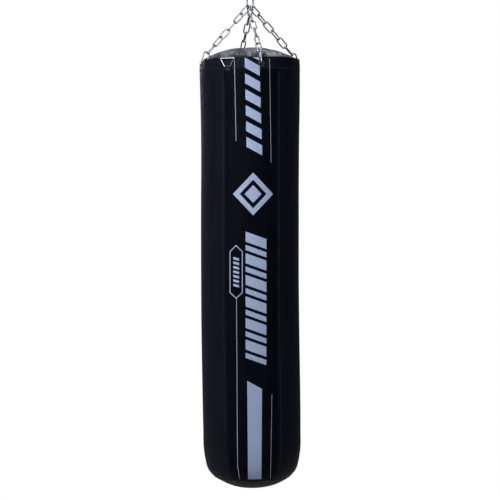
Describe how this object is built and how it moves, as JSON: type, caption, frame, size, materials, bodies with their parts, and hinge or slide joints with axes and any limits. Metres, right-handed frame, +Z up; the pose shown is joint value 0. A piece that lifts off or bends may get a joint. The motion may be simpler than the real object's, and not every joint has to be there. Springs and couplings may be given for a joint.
{
  "type": "heavy punching bag",
  "caption": "Tall cylindrical heavy bag with a domed top, hung by chains and snap hooks from a ring and an upper hook.",
  "frame": {"origin": "hang point: the inner top of the upper snap hook, where it rests on its bracket", "axes": "+Z up along the bag, -Y out of the printed front"},
  "size_m": [0.3576, 0.3576, 1.8202],
  "materials": {
    "zinc": "bright zinc plate",
    "chrome": "polished",
    "black_metal": "satin",
    "black_vinyl": "grained synthetic leather, satin",
    "navy_vinyl": "grained synthetic leather, satin",
    "grey_vinyl": "thin glossy coated cloth, creased",
    "webbing": "woven polypropylene",
    "foam": "closed-cell foam",
    "textile": "packed textile offcuts"
  },
  "bodies": {
    "top_hook": {"top_hook_body": "zinc", "top_hook_pin": "zinc"},
    "top_gate": {"top_hook_gate": "zinc"},
    "ring": {"hanging_ring": "zinc"},
    "bag": {"shell_front_panel": "navy_vinyl", "shell_right_panel": "black_vinyl", "shell_back_panel": "black_vinyl", "shell_left_panel": "black_vinyl", "bottom_disc": "black_vinyl", "top_cover": "grey_vinyl", "hem_band": "black_vinyl", "hem_belt": "webbing", "foam_lining": "foam", "filling": "textile", "zip_tape": "webbing", "zip_teeth": "zinc", "ring_loop": "webbing", "front_link_1": "zinc", "front_link_6": "zinc", "front_eyelet": "black_metal", "right_link_1": "zinc", "right_link_6": "zinc", "right_eyelet": "black_metal", "back_link_1": "zinc", "back_link_6": "zinc", "back_eyelet": "black_metal", "left_link_1": "zinc", "left_link_6": "zinc", "left_eyelet": "black_metal"},
    "front_link_3": {"front_link_3": "zinc"},
    "front_link_2": {"front_link_2": "zinc"},
    "front_link_4": {"front_link_4": "zinc"},
    "front_link_5": {"front_link_5": "zinc"},
    "front_hook": {"front_hook_body": "zinc", "front_hook_pin": "zinc"},
    "front_gate": {"front_hook_gate": "zinc"},
    "right_link_3": {"right_link_3": "zinc"},
    "right_link_2": {"right_link_2": "zinc"},
    "right_link_4": {"right_link_4": "zinc"},
    "right_link_5": {"right_link_5": "zinc"},
    "right_hook": {"right_hook_body": "zinc", "right_hook_pin": "zinc"},
    "right_gate": {"right_hook_gate": "zinc"},
    "back_link_3": {"back_link_3": "zinc"},
    "back_link_2": {"back_link_2": "zinc"},
    "back_link_4": {"back_link_4": "zinc"},
    "back_link_5": {"back_link_5": "zinc"},
    "back_hook": {"back_hook_body": "zinc", "back_hook_pin": "zinc"},
    "back_gate": {"back_hook_gate": "zinc"},
    "left_link_3": {"left_link_3": "zinc"},
    "left_link_2": {"left_link_2": "zinc"},
    "left_link_4": {"left_link_4": "zinc"},
    "left_link_5": {"left_link_5": "zinc"},
    "left_hook": {"left_hook_body": "zinc", "left_hook_pin": "zinc"},
    "left_gate": {"left_hook_gate": "zinc"},
    "slider": {"zip_slider": "zinc"},
    "pull": {"zip_pull": "zinc"},
    "carry_ring": {"carry_ring": "chrome"}
  },
  "joints": [
    {"name": "top_gate_hinge", "type": "hinge", "parent": "top_hook", "child": "top_gate", "pos_m": [-0.01003, 0.00626, -0.04133], "axis": [0.5299, 0.848, 0], "range_deg": [0, 18], "stiffness_Nm_per_rad": 0.05, "springref_deg": -28.65},
    {"name": "ring_swing", "type": "hinge", "parent": "top_hook", "child": "ring", "pos_m": [0, 0, -0.068], "axis": [-0.848, 0.5299, 0], "range_deg": [-35, 35]},
    {"name": "bag_swing", "type": "hinge", "parent": "ring", "child": "bag", "pos_m": [0, 0, -0.1067], "axis": [0.5299, 0.848, 0], "range_deg": [-35, 35]},
    {"name": "front_link_3_twist", "type": "hinge", "parent": "bag", "child": "front_link_3", "pos_m": [0.01168, -0.0636, -0.17403], "axis": [0.1698, -0.642, -0.7476], "range_deg": [-12, 12]},
    {"name": "front_link_2_twist", "type": "hinge", "parent": "bag", "child": "front_link_2", "pos_m": [0.00529, -0.03943, -0.14588], "axis": [0.1698, -0.642, -0.7476], "range_deg": [-6, 6]},
    {"name": "front_link_4_twist", "type": "hinge", "parent": "bag", "child": "front_link_4", "pos_m": [0.01808, -0.08777, -0.20217], "axis": [0.1698, -0.642, -0.7476], "range_deg": [-12, 12]},
    {"name": "front_link_5_twist", "type": "hinge", "parent": "bag", "child": "front_link_5", "pos_m": [0.02447, -0.11194, -0.23032], "axis": [0.1698, -0.642, -0.7476], "range_deg": [-6, 6]},
    {"name": "front_hook_turn", "type": "hinge", "parent": "bag", "child": "front_hook", "pos_m": [0.03902, -0.16902, -0.31809], "axis": [-0.0944, 0.4, 0.9116], "range_deg": [-10, 10]},
    {"name": "front_gate_hinge", "type": "hinge", "parent": "front_hook", "child": "front_gate", "pos_m": [0.03914, -0.16955, -0.29622], "axis": [-0.9744, -0.225, 0], "range_deg": [0, 18], "stiffness_Nm_per_rad": 0.02, "springref_deg": -28.65},
    {"name": "right_link_3_twist", "type": "hinge", "parent": "bag", "child": "right_link_3", "pos_m": [0.06547, 0.02134, -0.17373], "axis": [0.6506, 0.1049, -0.7521], "range_deg": [-12, 12]},
    {"name": "right_link_2_twist", "type": "hinge", "parent": "bag", "child": "right_link_2", "pos_m": [0.04131, 0.01744, -0.1458], "axis": [0.6506, 0.1049, -0.7521], "range_deg": [-6, 6]},
    {"name": "right_link_4_twist", "type": "hinge", "parent": "bag", "child": "right_link_4", "pos_m": [0.08963, 0.02524, -0.20166], "axis": [0.6506, 0.1049, -0.7521], "range_deg": [-12, 12]},
    {"name": "right_link_5_twist", "type": "hinge", "parent": "bag", "child": "right_link_5", "pos_m": [0.11379, 0.02913, -0.22959], "axis": [0.6506, 0.1049, -0.7521], "range_deg": [-6, 6]},
    {"name": "right_hook_turn", "type": "hinge", "parent": "bag", "child": "right_hook", "pos_m": [0.16902, 0.03902, -0.31809], "axis": [-0.3579, -0.0784, 0.9305], "range_deg": [-10, 10]},
    {"name": "right_gate_hinge", "type": "hinge", "parent": "right_hook", "child": "right_gate", "pos_m": [0.17066, 0.0394, -0.29628], "axis": [0.225, -0.9744, 0], "range_deg": [0, 18], "stiffness_Nm_per_rad": 0.02, "springref_deg": -28.65},
    {"name": "back_link_3_twist", "type": "hinge", "parent": "bag", "child": "back_link_3", "pos_m": [-0.01168, 0.0636, -0.17403], "axis": [-0.1698, 0.642, -0.7476], "range_deg": [-12, 12]},
    {"name": "back_link_2_twist", "type": "hinge", "parent": "bag", "child": "back_link_2", "pos_m": [-0.00529, 0.03943, -0.14588], "axis": [-0.1698, 0.642, -0.7476], "range_deg": [-6, 6]},
    {"name": "back_link_4_twist", "type": "hinge", "parent": "bag", "child": "back_link_4", "pos_m": [-0.01808, 0.08777, -0.20217], "axis": [-0.1698, 0.642, -0.7476], "range_deg": [-12, 12]},
    {"name": "back_link_5_twist", "type": "hinge", "parent": "bag", "child": "back_link_5", "pos_m": [-0.02447, 0.11194, -0.23032], "axis": [-0.1698, 0.642, -0.7476], "range_deg": [-6, 6]},
    {"name": "back_hook_turn", "type": "hinge", "parent": "bag", "child": "back_hook", "pos_m": [-0.03902, 0.16902, -0.31809], "axis": [0.0944, -0.4, 0.9116], "range_deg": [-10, 10]},
    {"name": "back_gate_hinge", "type": "hinge", "parent": "back_hook", "child": "back_gate", "pos_m": [-0.03914, 0.16955, -0.29622], "axis": [0.9744, 0.225, 0], "range_deg": [0, 18], "stiffness_Nm_per_rad": 0.02, "springref_deg": -28.65},
    {"name": "left_link_3_twist", "type": "hinge", "parent": "bag", "child": "left_link_3", "pos_m": [-0.06547, -0.02134, -0.17373], "axis": [-0.6506, -0.1049, -0.7521], "range_deg": [-12, 12]},
    {"name": "left_link_2_twist", "type": "hinge", "parent": "bag", "child": "left_link_2", "pos_m": [-0.04131, -0.01744, -0.1458], "axis": [-0.6506, -0.1049, -0.7521], "range_deg": [-6, 6]},
    {"name": "left_link_4_twist", "type": "hinge", "parent": "bag", "child": "left_link_4", "pos_m": [-0.08963, -0.02524, -0.20166], "axis": [-0.6506, -0.1049, -0.7521], "range_deg": [-12, 12]},
    {"name": "left_link_5_twist", "type": "hinge", "parent": "bag", "child": "left_link_5", "pos_m": [-0.11379, -0.02913, -0.22959], "axis": [-0.6506, -0.1049, -0.7521], "range_deg": [-6, 6]},
    {"name": "left_hook_turn", "type": "hinge", "parent": "bag", "child": "left_hook", "pos_m": [-0.16902, -0.03902, -0.31809], "axis": [0.3579, 0.0784, 0.9305], "range_deg": [-10, 10]},
    {"name": "left_gate_hinge", "type": "hinge", "parent": "left_hook", "child": "left_gate", "pos_m": [-0.17066, -0.0394, -0.29628], "axis": [-0.225, 0.9744, 0], "range_deg": [0, 18], "stiffness_Nm_per_rad": 0.02, "springref_deg": -28.65},
    {"name": "zip_slide", "type": "hinge", "parent": "bag", "child": "slider", "pos_m": [0, 0.05, -0.6092], "axis": [0, 1, 0], "range_deg": [0, 30]},
    {"name": "pull_flip", "type": "hinge", "parent": "slider", "child": "pull", "pos_m": [-0.09471, 0.05, -0.26061], "axis": [0, -1, 0], "range_deg": [0, 175]},
    {"name": "carry_ring_flip", "type": "hinge", "parent": "bag", "child": "carry_ring", "pos_m": [-0.07894, -0.16476, -0.3287], "axis": [0.9018, -0.4321, 0], "range_deg": [0, 165]}
  ],
  "couplings": [
    {"joint": "front_link_2_twist", "follows": "front_link_3_twist", "ratio": 0.5},
    {"joint": "front_link_4_twist", "follows": "front_link_3_twist", "ratio": 1},
    {"joint": "front_link_5_twist", "follows": "front_link_3_twist", "ratio": 0.5},
    {"joint": "right_link_2_twist", "follows": "right_link_3_twist", "ratio": 0.5},
    {"joint": "right_link_4_twist", "follows": "right_link_3_twist", "ratio": 1},
    {"joint": "right_link_5_twist", "follows": "right_link_3_twist", "ratio": 0.5},
    {"joint": "back_link_2_twist", "follows": "back_link_3_twist", "ratio": 0.5},
    {"joint": "back_link_4_twist", "follows": "back_link_3_twist", "ratio": 1},
    {"joint": "back_link_5_twist", "follows": "back_link_3_twist", "ratio": 0.5},
    {"joint": "left_link_2_twist", "follows": "left_link_3_twist", "ratio": 0.5},
    {"joint": "left_link_4_twist", "follows": "left_link_3_twist", "ratio": 1},
    {"joint": "left_link_5_twist", "follows": "left_link_3_twist", "ratio": 0.5}
  ]
}
